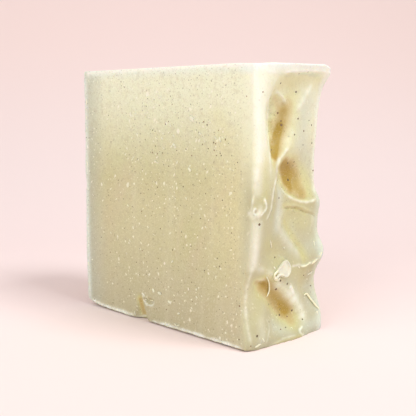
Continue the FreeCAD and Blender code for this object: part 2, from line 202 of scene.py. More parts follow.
ASH = {
    "plateau": (0.75, 4.2, (306, 104, 302, 118, 301, 134, 303, 150, 306, 164)),
    "flank": (0.8, 2, (279.6, 192, 279.6, 204, 277.4, 214, 276, 226)),
    "facets": (0.55, 3.8, (292, 226, 300, 236, 308, 244)),
    "bulge": (1, 1.8, (316.5, 244, 320, 248, 320.6, 254)),
    "flank at the back": (0.75, 2.2, (306, 286, 309, 296, 309, 306)),
    "lower back corner": (1, 2.4, (306, 327, 312, 325, 318, 322)),
    "foot of the trough": (0.65, 2.2, (274, 326, 281, 330, 288, 331)),
    "foot": (0.3, 0.9, (268, 348, 276, 344.4, 285, 341.4, 296, 338.6)),
    "diagonal ridge": (0.35, 1.4, (281, 232, 287, 241, 294, 250)),
    "side of the ridge": (0.8, 2.2, (286, 286, 290, 292, 297, 298)),
}
DIM_SHADE = {
    "facets": (0.34, 3.6, (290, 216, 298, 222, 305, 232)),
    "under the arc": (0.3, 1.4, (288, 204, 296, 205.6, 304, 208)),
    "flank at the back": (0.4, 3, (303, 284, 306, 292, 306, 302)),
    "foot": (0.45, 1.4, (270, 344, 280, 341.6, 292, 338.6)),
}

# Thin curls of soap left by the cutting: radius in mm, height over the soap in mm, marks in pixels
CURLS = {
    "over the trough": (0.26, 0.24, (266, 276.4, 267.6, 279.6, 268.6, 283.4, 268.7, 288.6,
        267.6, 293.4, 265.7, 297)),
    "down the back flank": (0.28, 0.26, (303, 295.4, 304.2, 294.4, 305.7, 293.2, 308, 296.4,
        310.9, 300.2, 313.4, 303.2, 316, 306.4, 318.4, 308.6)),
    "end of the shaving": (0.36, 0.22, (279.6, 276.6, 278.4, 278.8, 275.9, 279.6, 273.8, 277.6,
        273.6, 274.6, 275.4, 272.4, 278, 270.4)),
    "on the jagged crest": (0.22, 0.12, (301.2, 266.2, 303.4, 266.2, 305.2, 266, 307, 264.8,
        308.8, 263.2, 310, 262.6)),
    "further on the jagged crest": (0.24, 0.12, (311.8, 263.4, 313.2, 262.4, 314.6, 260.8,
        316.2, 259.4, 317.2, 258.8)),
    "end of the jagged crest": (0.22, 0.1, (318.6, 258.8, 319.4, 257.4, 320.4, 254.9,
        321.4, 252.4)),
    "hair by the crater": (0.12, 0.05, (144.8, 296.6, 147, 297.4, 149.4, 299.6)),
}

# Light bits pressed into the soap or left on its edges: width in mm, x and y of both ends in pixels
LIGHT_BITS = (
    (0.8, 153, 289.6, 153.6, 291.2), (0.88, 158.8, 293, 160.4, 294),
    (0.64, 168.6, 301.2, 169.4, 302.2), (0.32, 173.6, 295, 174.6, 295.8),
    (0.48, 177.6, 313.9, 179.2, 313.4), (0.32, 146.6, 296.2, 147.4, 297),
    (0.28, 134, 294.2, 135, 294.8), (0.28, 136.8, 309.2, 137.4, 310.4),
    (0.4, 196.2, 296.4, 196.8, 297.8), (0.4, 196.2, 289, 196.5, 290),
    (0.32, 184.8, 292.6, 185.8, 293), (0.32, 112.8, 76.2, 115.8, 74),
    (0.32, 143.2, 82.8, 144, 83.8), (0.32, 131.4, 100.8, 132.4, 99.8),
    (0.4, 146.8, 111.4, 147.8, 112.6), (0.4, 134.8, 113, 135.6, 114.2),
    (0.32, 121.8, 115.2, 122.6, 116.2), (0.32, 97.4, 80.4, 99.2, 87.2),
    (0.24, 99.4, 86.6, 100.6, 80.6), (1.2, 190.6, 117.2, 192.8, 120.2),
    (0.4, 173, 134.8, 174, 136.2), (0.48, 199.4, 133.2, 201, 134.8),
    (0.72, 173.2, 144.2, 175.2, 146), (0.32, 163, 147.4, 164, 148.4),
    (0.8, 188.6, 168.6, 190.2, 170.6), (0.48, 155, 161.2, 156.6, 162.2),
    (0.4, 176.6, 163.6, 177.4, 161.6), (0.48, 214.8, 137.2, 215.8, 138.6),
    (0.64, 219.6, 138, 220.4, 141.4), (0.4, 203.8, 140.2, 204.6, 141.6),
    (0.4, 161.4, 137.6, 162.4, 138.8), (0.4, 131.2, 137.8, 132.8, 138.4),
    (0.32, 131.4, 160.2, 132.6, 158.8), (0.32, 143.6, 116.2, 144.8, 114.8),
    (0.32, 156.6, 95.4, 157.4, 93.2), (0.4, 159, 97.8, 160.6, 97), (0.32, 152, 101.8, 153.2, 100.6),
    (0.32, 143, 107.6, 144.4, 105.2), (0.28, 162.4, 100, 163.2, 101.2),
    (0.28, 180.6, 100.4, 181.4, 101.4), (0.48, 170.2, 125.2, 171.2, 126.4),
    (0.36, 208, 122, 209.4, 121), (0.4, 155.6, 137, 156.4, 138.6), (0.36, 140.4, 158.6, 142, 157.2),
    (0.4, 127.4, 205, 128.2, 206), (0.36, 116, 199.4, 117, 198.4),
    (0.4, 185.8, 197.6, 186.6, 199.2), (0.36, 147.6, 226.4, 148.4, 227.8),
    (0.4, 129.6, 240.2, 130.4, 241.6), (0.36, 205.2, 226.6, 206.2, 227.6),
    (0.4, 171.6, 262.4, 172.4, 261), (0.36, 110.4, 232.2, 111.2, 233.4),
    (0.45, 270.2, 240.6, 271.6, 247.6), (0.45, 283.6, 247.4, 284.6, 248.6),
    (0.45, 274, 267.2, 275, 268.6), (0.63, 307.9, 274.6, 311.9, 271.8),
    (0.45, 316.8, 311.4, 317.6, 312.8), (0.45, 298.4, 266.8, 299.4, 267.6),
    (0.63, 255.6, 347, 260.6, 344.2), (0.45, 262.6, 338.6, 264, 341),
    (0.45, 313.8, 241.4, 314.2, 245.6), (0.36, 291, 327.6, 292, 328.6),
    (0.32, 164.4, 325, 165.4, 323), (0.48, 167.4, 325.2, 169.6, 324.2),
    (0.32, 174.6, 323.8, 176.4, 326), (0.32, 176.4, 326, 179, 325.2),
    (0.24, 179.4, 328.6, 182.4, 331.8), (0.24, 189.3, 330.6, 194, 336.2),
    (0.32, 195, 336.4, 199, 337.2), (0.4, 214, 342.2, 219, 344), (0.32, 158.4, 324.8, 161.4, 326.2),
    (0.4, 124.6, 313.2, 128.6, 314.6), (0.4, 128.6, 314.6, 131.6, 316),
    (0.28, 134.4, 311, 135.4, 315.4), (0.32, 145, 299.6, 146.4, 299),
    (0.32, 151, 299.8, 154, 301.6), (0.4, 86.6, 99, 86.8, 104.8), (0.4, 86.9, 109.4, 87.1, 111.4),
    (0.32, 86.6, 116.8, 86.8, 119.4), (0.24, 86.6, 127.6, 86.7, 131),
    (0.32, 87.6, 162.4, 87.9, 166.4), (0.28, 88, 187, 88.2, 190), (0.28, 88.4, 262, 88.6, 266),
    (0.24, 88.6, 282, 88.9, 286))

# Dark specks of herb and bark in the soap: width in mm, x and y in pixels
SPECKS = (
    (0.68, 259.4, 224.6), (0.5, 280.6, 83.2), (0.5, 296, 92), (0.41, 307.9, 72), (0.36, 299, 73.5),
    (0.45, 277.7, 113), (0.45, 281, 121), (0.68, 281.4, 125), (0.45, 298, 118.7),
    (0.36, 309, 120.5), (0.45, 311.5, 125), (0.5, 303.8, 131), (0.45, 294.6, 134.7),
    (0.45, 311.8, 143), (0.36, 303, 145), (0.36, 271.5, 150), (0.45, 287.8, 163), (0.36, 294, 162),
    (0.68, 288, 180), (0.45, 313, 170.5), (0.54, 279, 198), (0.5, 274.8, 257.4),
    (0.54, 280.5, 280.7), (0.54, 287.3, 283.8), (0.68, 276, 289.3), (0.59, 279.4, 314.9),
    (0.54, 291.8, 310.4), (0.41, 287, 316.5), (0.45, 302.4, 319.2), (0.63, 257.1, 336.2),
    (0.4, 239, 339.5), (0.47, 239.5, 306), (0.45, 268.8, 304.4), (0.41, 269, 322),
    (0.41, 285.6, 327.4), (0.36, 280.6, 329.4), (0.36, 250.8, 346.2), (0.36, 310.6, 285.6),
    (0.36, 303.6, 275.4), (0.36, 310.4, 272), (0.54, 276.3, 276.2), (0.32, 129.7, 289.2),
    (0.36, 166.4, 309.6), (0.32, 191.7, 282.3), (0.29, 123, 286.9), (0.36, 94.6, 299),
    (0.29, 113, 302.6), (0.29, 108.4, 115.4), (0.29, 135, 119.2), (0.32, 86.4, 137.6),
    (0.29, 124.7, 87.3), (0.25, 95.9, 77.1), (0.43, 165.4, 124.2), (0.4, 203.8, 121.8),
    (0.43, 207.2, 124.8), (0.4, 152.6, 130.2), (0.36, 152.4, 152.4), (0.32, 176.8, 150.4),
    (0.32, 162.4, 153), (0.32, 155.4, 146), (0.36, 157.4, 153.8), (0.36, 186, 149.2),
    (0.36, 191.8, 155.6), (0.36, 168.8, 166.2), (0.43, 213.6, 142.6), (0.32, 215.6, 143.6),
    (0.36, 214.2, 150.2), (0.36, 202.4, 144.4), (0.32, 208.2, 148.6), (0.32, 216.6, 155.4),
    (0.32, 220.2, 153.2), (0.32, 221.2, 155.6), (0.4, 225.4, 139.2), (0.32, 218.6, 130.4),
    (0.32, 198.8, 132.4), (0.32, 168.6, 121.4), (0.29, 147.6, 98.6), (0.29, 170.4, 96.2),
    (0.29, 172.2, 104.2), (0.29, 190.8, 104.4), (0.29, 146.4, 106.2), (0.29, 159.2, 105.4),
    (0.32, 135, 171.6), (0.29, 137.6, 159), (0.32, 142.4, 169.4), (0.32, 146, 184),
    (0.36, 183.2, 186.6), (0.32, 193, 184.6), (0.32, 205.6, 193.6), (0.32, 157.6, 187.2),
    (0.32, 118.4, 180.2), (0.32, 108.6, 195.2), (0.32, 200.6, 218.4), (0.36, 222.4, 200.2),
    (0.36, 141.6, 211.2), (0.36, 160.4, 228.6), (0.36, 181.6, 232), (0.32, 124.6, 228.2),
    (0.32, 101.4, 237.2), (0.32, 110.4, 252.2), (0.36, 142.2, 250.6), (0.36, 172.4, 250),
    (0.36, 191, 246.2), (0.36, 217.4, 258.2), (0.36, 204.4, 270.6), (0.4, 219.6, 266.4),
    (0.32, 157.4, 268.2), (0.32, 136.4, 262.2), (0.32, 231.4, 233), (0.32, 237.6, 162.4),
    (0.29, 246.7, 96.2), (0.36, 263, 92))

# Outline of the shaving that stands on the shelf, in pixels
SHAVING = (
    285.9, 260, 287.6, 261.8, 288.9, 263.7, 289.8, 265.2, 290.5, 266.9, 290.9, 268.8, 290.9, 270.7,
    290.6, 272.6, 290, 274.4, 288.8, 275.9, 287.2, 277.1, 286, 277.1, 284.8, 276.5, 283.6, 275.8,
    282.2, 275.4, 280.8, 275.4, 279.7, 275.8, 279, 277.2, 277.9, 278.6, 276.2, 279.3, 274.7, 278.6,
    273.7, 277, 273.5, 275.2, 274.1, 273.5, 275.5, 272.4, 277.2, 271.1, 278.9, 269.2, 280.6, 267.2,
    282.2, 264.8, 283.9, 262.2)

# Drift of the left cut edge at some heights, in mm, positive into the bar
EDGE_DRIFT = (
    (70.0, -0.2), (68.7, 0.05), (65.0, -0.1), (61.4, 0.15), (58.0, 0.0), (54.0, -0.2),
    (49.4, 0.05), (42.0, -0.35), (37.3, 0.0), (30.0, -0.4), (23.0, -0.5), (15.6, -0.65),
    (8.4, -0.35), (3.5, -0.3), (0.0, -0.3))
# Depth to which that edge drifts and the front edge is lifted, and height to which the top is worn
EDGE_BAND = 4 * MM
TOP_BAND = 3 * MM
# The front edge stands this far clear of the floor
FRONT_LIFT = 0.28 * MM
# Strength of the nicks in the left edge and in the lower edges of the cut faces, in mm
LEFT_NICK = 0.16
LOWER_NICK = 0.18

# The back corner of the top is full, and its tip blunt: place in m, outer and inner reach in mm,
# shift along x in mm
CORNERS = (
    (Vector((0.0338, 0.0140, 0.0672)), 3.6, 0.0, 0.5),
    (Vector((0.0344, 0.0142, 0.0696)), 1.8, 0.2, -0.4))

# Worn places of the top: x and y in mm, reach in mm, drop in mm
WORN_TOP = (((34.6, 14.2), 3.2, 0.85), ((33.0, -14.2), 6.0, 0.28))

# Share of a run over which it fades out at each end, and how unevenly it runs between them
CREST_FADE = (0.14, 0.7)
LINE_FADE = (0.10, 0.6)

# Step between seats along a run of marks, in pixels
MARK_STEP = 0.8
# Distances from the eye, in mm, at which a mark past the outline looks for the nearest soap
STRAY_REACH = range(170, 250, 2)
# Vertices closer than this are one
WELD = 0.001 * MM
# Least height of the added pieces over the floor
FLOOR_GAP = 0.02 * MM

# Random seeds of the lumps that bits and specks are copied from, and how far these stand out of
# the soap: a share of the width and a limit in mm for bits, in metres for specks
LUMP_SEEDS = (3, 11, 29)
BIT_RISE = (0.3, 0.16)
SPECK_RISE = 0.06 * MM

# The floor is a square that bends up into a wall behind the bar, in metres
FLOOR_SIZE = 2.4
BEND_START = 0.10
BEND_RADIUS = 0.26
WALL_HEIGHT = 1.2


def deselect_all():
    bpy.ops.object.select_all(action="DESELECT")


def make_active(piece):
    deselect_all()
    piece.select_set(True)
    bpy.context.view_layer.objects.active = piece


@contextmanager
def editing():
    """Edit mode on the active piece, with all of it selected."""
    bpy.ops.object.mode_set(mode="EDIT")
    bpy.ops.mesh.select_all(action="SELECT")
    yield
    bpy.ops.object.mode_set(mode="OBJECT")


def link_new(name, data):
    """A new object in the scene that holds some data."""
    holder = bpy.data.objects.new(name, data)
    bpy.context.scene.collection.objects.link(holder)
    return holder


def apply_modifier(piece, kind, **values):
    """Adds one modifier, sets it and applies it."""
    make_active(piece)
    modifier = piece.modifiers.new(kind.title(), kind)
    for name, value in values.items():
        setattr(modifier, name, value)
    bpy.ops.object.modifier_apply(modifier=modifier.name)


def settle(piece, *names):
    """Gives a finished piece its body, and hides the plain parts that it stands for."""
    make_active(piece)
    bpy.ops.object.transform_apply(location=True, rotation=True, scale=True)
    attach(piece, BODY)
    if names:
        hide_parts(*names)


def vertex_values(mesh, kind):
    """Places (co) or normals (normal) of all vertices, a row for each."""
    values = np.zeros(len(mesh.vertices) * 3)
    mesh.vertices.foreach_get(kind, values)
    return values.reshape(-1, 3)


def pairs(run):
    """Marks from a flat run of numbers."""
    return list(zip(run[::2], run[1::2]))


def sight_line(mark):
    """Direction in which the eye sees a mark."""
    across = (mark[0] / PICTURE - 0.5) * SENSOR / LENS
    up = (0.5 - mark[1] / PICTURE) * SENSOR / LENS
    direction = Vector((across, up, -1))
    direction.rotate(EYE_ROTATION)
    return direction.normalized()


def along(marks, step):
    """Points along a run of marks, no further apart than step."""
    found = [Vector(marks[0])]
    for a, b in zip(marks, marks[1:]):
        a, b = Vector(a), Vector(b)
        count = max(1, math.ceil((b - a).length / step))
        found += [a.lerp(b, (k + 1) / count) for k in range(count)]
    return found


def sit(tree, mark):
    """Place and normal on the soap under a mark, or just inside the outline if it is past it."""
    sight = sight_line(mark)
    place, normal, _, _ = tree.ray_cast(EYE, sight)
    if place is None:
        tries = [tree.find_nearest(EYE + sight * reach * MM) for reach in STRAY_REACH]
        place, normal, _, _ = min(tries, key=lambda found: found[3])
    if normal.dot(sight) > 0:
        normal = -normal
    return place, normal


def seat(tree, marks, taper=0.0, wander=0.0):
    """Places on the soap where the eye sees the marks, each with its share of the full strength."""
    run = along(pairs(marks), MARK_STEP)
    found = []
    for index, mark in enumerate(run):
        place = sit(tree, mark)[0]
        end = min(index, len(run) - 1 - index) / max(1, len(run) - 1)
        share = smooth(-taper / 3, taper, end) if taper else 1.0
        share *= 1 - wander / 5 + wander * noise.noise(place * 700)
        found.append((place, max(0.0, share)))
    return found


def tree_of(piece):
    return BVHTree.FromObject(piece, bpy.context.evaluated_depsgraph_get())


def points_tree(places):
    tree = KDTree(len(places))
    for index, place in enumerate(places):
        tree.insert(place, index)
    tree.balance()
    return tree


def nearness(tree, count, seats, half_width, sharpness=2.0):
    """For each point, the share of the nearest seat, falling to 0 away from it."""
    near = [0.0] * count
    for place, share in seats:
        for _, index, distance in tree.find_range(place, 2.6 * half_width):
            reach = half_width * (0.6 + 0.4 * share)
            value = share * math.exp(-((distance / reach) ** sharpness))
            if value > near[index]:
                near[index] = value
    return np.array(near)


def smooth(low, high, value):
    """0 below low and 1 above high, with a soft rise between them."""
    share = min(1.0, max(0.0, (value - low) / (high - low)))
    return share * share * (3 - 2 * share)


def drift(height):
    """Drift of the left edge at a height, in metres."""
    for (z1, d1), (z0, d0) in zip(EDGE_DRIFT, EDGE_DRIFT[1:]):
        if height >= z0 * MM:
            share = (height / MM - z0) / (z1 - z0)
            share = share * share * (3 - 2 * share)
            return (d0 + (d1 - d0) * share) * MM
    return 0.0


def carve(piece, seats, strength):
    """Raises the crests and sinks the creases, and lets the cut edges wander as a hand cut does."""
    places = vertex_values(piece.data, "co")
    normals = vertex_values(piece.data, "normal")
    tree = points_tree(places)
    lift = np.zeros(len(places))
    for name, (height, half_width, _, _) in CRESTS.items():
        near = nearness(tree, len(places), seats[name], half_width * MM, 1.6)
        wobble = 1.0
        if name == "jagged crest":
            wobble = np.array([
                0.25 + 1.1 * abs(noise.noise(Vector(p) * 1500)) if n > 0.02 else 1.0
                for p, n in zip(places, near)])
        lift += height * MM * near * wobble * strength
    places += normals * lift[:, None]
    for index, (x, y, z) in enumerate(places):
        spot = Vector((x, y, z))
        # The left cut edge drifts, and is nicked
        if x < LEFT + EDGE_BAND:
            share = smooth(EDGE_BAND, 0.0, x - LEFT)
            depth = 1 - 0.6 * smooth(0, 12 * MM, y - FRONT)
            nick = noise.noise(spot * 420) * LEFT_NICK + noise.noise(spot * 1300) * LEFT_NICK
            places[index][0] += share * (drift(z) * depth + nick * MM)
        if z > TOP - TOP_BAND:
            for (worn_x, worn_y), reach, drop in WORN_TOP:
                away = math.hypot(x - worn_x * MM, y - worn_y * MM)
                share = smooth(reach * MM, 0.0, away) * smooth(TOP - TOP_BAND, TOP, z)
                places[index][2] -= share * drop * MM
        for corner, outer, inner, shift in CORNERS:
            share = smooth(outer * MM, inner * MM, (spot - corner).length)
            places[index][0] += share * shift * MM
        # The front edge stands clear of the floor, as the wire left it
        if z < 0.5 * MM and y < FRONT + EDGE_BAND:
            places[index][2] += (FRONT_LIFT - z / 2) * smooth(EDGE_BAND, 0.8 * MM, y - FRONT)
        # The lower edges of both cut faces are nicked
        rim = min(y - FRONT, BACK - y)
        if rim < 0.5 * MM and z < 0.6 * MM:
            places[index][2] += max(0.0, noise.noise(spot * 900)) * LOWER_NICK * MM
    places[:, 2] = np.maximum(places[:, 2], 0.0)
    piece.data.vertices.foreach_set("co", places.ravel())
    piece.data.update()


def store(piece, name, tone):
    """Stores a number from 0 to 1 for each point."""
    attribute = piece.data.attributes.new(name, "FLOAT", "POINT")
    attribute.data.foreach_set("value", np.clip(tone, 0, 1).astype(np.float32))


def paint(piece, name, layers, lines=()):
    """Stores one tone of the soap as a number for each point. Lines are frayed, layers are not."""
    places = vertex_values(piece.data, "co")
    tree = points_tree(places)
    bar = tree_of(piece)
    tone = np.zeros(len(places))
    kinds = [(layer, (0.0, 0.0)) for layer in layers] + [(line, LINE_FADE) for line in lines]
    for (strength, half_width, marks), fade in kinds:
        near = nearness(tree, len(places), seat(bar, marks, *fade), half_width * MM)
        tone = np.maximum(tone, strength * near) + 0.25 * np.minimum(tone, strength * near)
    store(piece, name, tone)


def new_lump(name, seed):
    """An irregular small lump, one unit in radius."""
    deselect_all()
    bpy.ops.mesh.primitive_ico_sphere_add(subdivisions=2, radius=1.0)
    lump = bpy.context.object
    lump.name = name
    with editing():
        bpy.ops.transform.vertex_random(offset=0.30, uniform=0.5, seed=seed)
    return lump


def lay_lump(lump, first, second, width, depth):
    """A copy of a lump, laid between two seats on the soap and sunk into it."""
    (a, normal), (b, other) = first, second
    normal = (normal + other).normalized()
    run = b - a
    run -= normal * run.dot(normal)
    length = run.length
    if length < 0.01 * MM:
        run = normal.orthogonal()
    run.normalize()
    turn = Matrix((run, normal.cross(run), normal)).transposed().to_4x4()
    size = Matrix.Diagonal((length / 2 + width / 2, width / 2, depth, 1))
    copy = link_new(lump.name, lump.data.copy())
    copy.matrix_world = Matrix.Translation((a + b) / 2) @ turn @ size
    return copy


def gather(name, pieces, material):
    """Joins pieces of one kind into one finished piece, and keeps it off the floor."""
    make_active(pieces[0])
    for piece in pieces:
        piece.select_set(True)
    bpy.ops.object.transform_apply(location=True, rotation=True, scale=True)
    if len(pieces) > 1:
        bpy.ops.object.join()
    piece = bpy.context.object
    for vertex in piece.data.vertices:
        vertex.co.z = max(vertex.co.z, FLOOR_GAP)
    piece.name = name
    piece.data.name = name
    piece.data.materials.clear()
    piece.data.materials.append(material)
    bpy.ops.object.shade_smooth()
    settle(piece)


def lay_curl(name, tree, radius, height, marks):
    """A thin curl of soap that lies along its marks, thinner at both ends."""
    curve = bpy.data.curves.new(name, "CURVE")
    curve.dimensions = "3D"
    curve.bevel_depth = radius * MM
    curve.bevel_resolution = 3
    curve.use_fill_caps = True
    curve.resolution_u = 8
    line = curve.splines.new("NURBS")
    last = len(marks) // 2 - 1
    line.points.add(last)
    for index, (point, mark) in enumerate(zip(line.points, pairs(marks))):
        place, normal = sit(tree, mark)
        point.co = (*(place + normal * height * MM), 1.0)
        end = min(index, last - index) / last
        point.radius = (0.45 + 0.55 * smooth(0.0, 0.3, end)) * (1 + 0.5 * noise.noise(place * 2000))
    line.order_u = 3
    line.use_endpoint_u = True
    make_active(link_new(name, curve))
    bpy.ops.object.convert(target="MESH")
    curl = bpy.context.object
    with editing():
        bpy.ops.mesh.remove_doubles(threshold=WELD)
        bpy.ops.mesh.normals_make_consistent(inside=False)
    return curl


def math_node(operation, turned=False):
    """A method of Tone that adds one Math node."""
    def method(self, other):
        values = (other, self) if turned else (self, other)
        made = self.finish.node("ShaderNodeMath", {"operation": operation}, dict(enumerate(values)))
        return Tone(self.finish, made.outputs[0])
    return method


class Tone:
    """A number that varies over a surface. Sums and products of it add their own Math nodes."""

    def __init__(self, finish, socket):
        self.finish = finish
        self.socket = socket

    __add__ = __radd__ = math_node("ADD")
    __sub__ = math_node("SUBTRACT")
    __rsub__ = math_node("SUBTRACT", turned=True)
    __mul__ = __rmul__ = math_node("MULTIPLY")
    __gt__ = math_node("GREATER_THAN")
    highest = math_node("MAXIMUM")
    lowest = math_node("MINIMUM")


class Finish:
    """A material under construction, with the colour that it has so far."""

    def __init__(self, name, colour=None):
        self.material = bpy.data.materials.new(name)
        self.material.use_nodes = True
        self.tree = self.material.node_tree
        self.tree.nodes.clear()
        self.out = self.node("ShaderNodeOutputMaterial")
        self.place = self.node("ShaderNodeTexCoord").outputs["Object"]
        self.colour = colour

    def node(self, kind, settings=None, inputs=None):
        made = self.tree.nodes.new(kind)
        for name, value in (settings or {}).items():
            setattr(made, name, value)
        for name, value in (inputs or {}).items():
            if isinstance(value, Tone):
                value = value.socket
            if isinstance(value, bpy.types.NodeSocket):
                self.tree.links.new(value, made.inputs[name])
            else:
                made.inputs[name].default_value = value
        return made

    def blend(self, share, first, second):
        """Colour between two colours."""
        made = self.node("ShaderNodeMix", {"data_type": "RGBA"}, {0: share, 6: first, 7: second})
        return made.outputs[2]

    def cover(self, share, colour, factor=1.0):
        """Lays a share of a colour over the colour so far."""
        self.colour = self.blend(share, self.colour, shade(colour, factor))

    def noise(self, scale, detail=2.0, place=None, distortion=0.0):
        made = self.node("ShaderNodeTexNoise", None, {
            "Vector": place or self.place, "Scale": scale, "Detail": detail,
            "Distortion": distortion})
        return Tone(self, made.outputs[0])

    def moved(self, rotation, scale, place=None):
        made = self.node("ShaderNodeMapping", {"vector_type": "TEXTURE"}, {
            "Vector": place or self.place, "Rotation": rotation, "Scale": scale})
        return made.outputs[0]

    def warped(self, scale, amount):
        """Places shifted about by a cloud, so that a pattern in them bends."""
        cloud = self.node("ShaderNodeTexNoise", None, {"Vector": self.place, "Scale": scale})
        about = self.node("ShaderNodeVectorMath", {"operation": "SUBTRACT"}, {
            0: cloud.outputs["Color"], 1: (0.5, 0.5, 0.5)})
        reach = self.node("ShaderNodeVectorMath", {"operation": "SCALE"}, {
            0: about.outputs[0], "Scale": amount})
        made = self.node("ShaderNodeVectorMath", {"operation": "ADD"}, {
            0: self.place, 1: reach.outputs[0]})
        return made.outputs[0]

    def step(self, value, low, high):
        made = self.node("ShaderNodeMapRange", {"interpolation_type": "SMOOTHSTEP"}, {
            "Value": value, "From Min": low, "From Max": high})
        return Tone(self, made.outputs[0])

    def grains(self, scale, place):
        """Scattered grains: distance to the nearest, and three random numbers for each."""
        made = self.node("ShaderNodeTexVoronoi", None, {"Vector": place, "Scale": scale})
        parts = self.node("ShaderNodeSeparateColor", None, {0: made.outputs["Color"]})
        return Tone(self, made.outputs["Distance"]), [Tone(self, s) for s in parts.outputs]

    def attribute(self, name):
        made = self.node("ShaderNodeAttribute", {"attribute_name": name})
        return Tone(self, made.outputs["Fac"])

    def axes(self):
        made = self.node("ShaderNodeSeparateXYZ", None, {0: self.place})
        return [Tone(self, s) for s in made.outputs]

    def close(self, roughness, height, strength, depth, **inputs):
        """Ends the material with its colour so far, a roughness and a bump of some depth in mm."""
        bump = self.node("ShaderNodeBump", None, {
            "Height": height, "Strength": strength, "Distance": depth * MM})
        shader = self.node("ShaderNodeBsdfPrincipled", None, {
            "Base Color": self.colour, "Roughness": roughness, "Normal": bump.outputs[0],
            **{name.replace("_", " "): value for name, value in inputs.items()}})
        self.tree.links.new(shader.outputs[0], self.out.inputs[0])
        return self.material


def shade(colour, factor=1.0):
    return (*[c * factor for c in colour], 1.0)


def soap_finish(look):
    """Waxy, slightly clear soap: cream with drifts of tone, painted light and shade, light flecks,
    fine grit and specks.
    """
    finish = Finish("hand_cut_soap")
    step, cloud, moved, cover = finish.step, finish.noise, finish.moved, finish.cover
    x, y, z = finish.axes()

    drifts = cloud(38, 3.0, distortion=0.6)
    swirl = cloud(70, 3.0, moved((0.1, 0.35, 0.2), (1.0, 1.0, 3.0)), distortion=1.2)
    streaks = cloud(260, 3.0, moved((0.0, 0.06, 0.0), (1.0, 1.0, 9.0)))
    mottle = cloud(620, 3.0)
    grit = cloud(2400, 2.0)
    fine = cloud(4300, 1.0)

    # Drifts of the poured soap and yellower to the right; darker downwards and paler upwards are
    # painted shade and painted light, as the light falls from above
    finish.colour = finish.blend(step(drifts, 0.35, 0.65), shade(look.cream), shade(look.straw))
    cover(step(swirl, 0.50, 0.72) * 0.45, look.rose)
    cover(step(x, 0.010, 0.030) * 0.45, look.butter)
    cover(step(z, 0.034, 0.000) * 0.75, look.tan)
    cover(step(z + 0.014 * (drifts - 0.5), 0.037, 0.070) * 0.76, look.milk)
    cut_face = step(y, FRONT + 3 * MM, FRONT + 0.5 * MM)
    # Painted shade: the cut face darker and greyer towards its far edge
    cover(step(x, LEFT + 12 * MM, LEFT) * cut_face * 0.70, look.dusk_shade)

    # Tones of the folded side, with painted shade on the lower folds, the dim places and the
    # hollows
    golden_shade, highlight_and_burrs = finish.attribute("golden_shade"), finish.attribute("highlight_and_burrs")
    folds = step(x, 0.0270, 0.0320)
    cover(folds * 0.35, look.milk)
    # Painted shade: the lower folds darker
    cover(folds * step(z, 0.050, 0.036) * 0.80, look.low_fold_shade)
    cover(finish.attribute("ash") * 0.85, look.ash)
    # Painted shade on the dim places of the folds
    cover(finish.attribute("dim_shade"), look.tan)
    # Painted shade in the hollows and creases: khaki where faint, then honey, and amber where
    # deepest
    honey_shade = finish.blend(step(golden_shade, 0.34, 0.66), shade(look.khaki_shade), shade(look.honey_shade))
    honey_shade = finish.blend(step(golden_shade, 0.40, 1.0), honey_shade, shade(look.amber_shade))
    finish.colour = finish.blend((golden_shade * 1.06).lowest(0.96), finish.colour, honey_shade)
    # The folds are darker towards the foot
    cover(step(z, 3.2 * MM, 0.6 * MM) * folds * 0.36, look.tan, 0.8)

    # Edges of the cuts let light through; that glow is painted, as a paler colour along them and
    # along the top
    rim_left = step(x, LEFT + 3.0 * MM, LEFT + 0.2 * MM)
    rim_top = step(z, TOP - 4.0 * MM, TOP - 0.4 * MM)
    near_front = step(y, FRONT + 4 * MM, FRONT + 1 * MM)
    edges = step(y * y, (13.0 * MM) ** 2, (14.1 * MM) ** 2) * (0.35 + 0.65 * near_front)
    rim_back = step(y, BACK - 2.6 * MM, BACK - 0.4 * MM) * folds
    along_top = rim_top * (0.35 + 0.35 * near_front)
    edge_glow = (rim_left * edges * 0.75).highest(along_top).highest(rim_back * 0.6)
    cover(edge_glow * (0.45 + 0.7 * mottle), look.rim)
    cover(rim_top * folds * 0.7, look.top_glow)
    # The top itself was never against the wire, and has the plain colour
    cover(step(finish.attribute("upward"), 0.88, 0.98) * rim_top * 0.9, look.cream)
    # Painted highlight on lips, crests and thin edges, with the white of burrs along the lower
    # front edge
    cover(highlight_and_burrs, look.white)

    # Fine grain of the wire cut, lighter and darker than the soap round it
    quiet = 1 - 0.65 * folds
    cover(step(grit, 0.50, 0.70) * 0.26 * quiet, look.grain)
    cover(step(grit, 0.47, 0.30) * 0.18 * quiet, look.fleck)
    cover(step(fine, 0.54, 0.70) * 0.10 * quiet, look.grain)
    cover(step(mottle, 0.50, 0.72) * quiet * (1 - 0.8 * highlight_and_burrs) * 0.26, look.grain)
    cover(step(streaks, 0.52, 0.70) * 0.06, look.fleck)

    # Light flecks lie every way, so the layers are turned against each other
    flecks = specks = None
    curled = finish.warped(900, 0.8 * MM)
    gathered = (0.9 * (cloud(95, 1.0) - 0.5) - 0.20 * step(x, -0.004, -0.026)
                + 0.16 * step(z, 0.015, 0.050) - 0.08)
    for turn, scale, share, stretch, radius in (
            ((0.5, 0.6, 0.2), 640, 0.62, 2.4, 0.16), ((0.3, -0.7, 0.4), 700, 0.66, 2.2, 0.16),
            ((1.2, 0.1, 0.6), 1050, 0.58, 1.6, 0.22), ((0.2, 0.4, 1.1), 340, 0.84, 1.4, 0.14)):
        bent = moved(turn, (1.0, 1.0, stretch), curled)
        distance, (pick, size, _) = finish.grains(scale, bent)
        edge = 0.05 + radius * size
        layer = step(distance, edge + 0.05, edge - 0.03) * (pick + gathered > share)
        flecks = layer if flecks is None else flecks.highest(layer)
    cover(flecks * (0.54 - 0.38 * folds) * (1 - golden_shade), look.fleck)

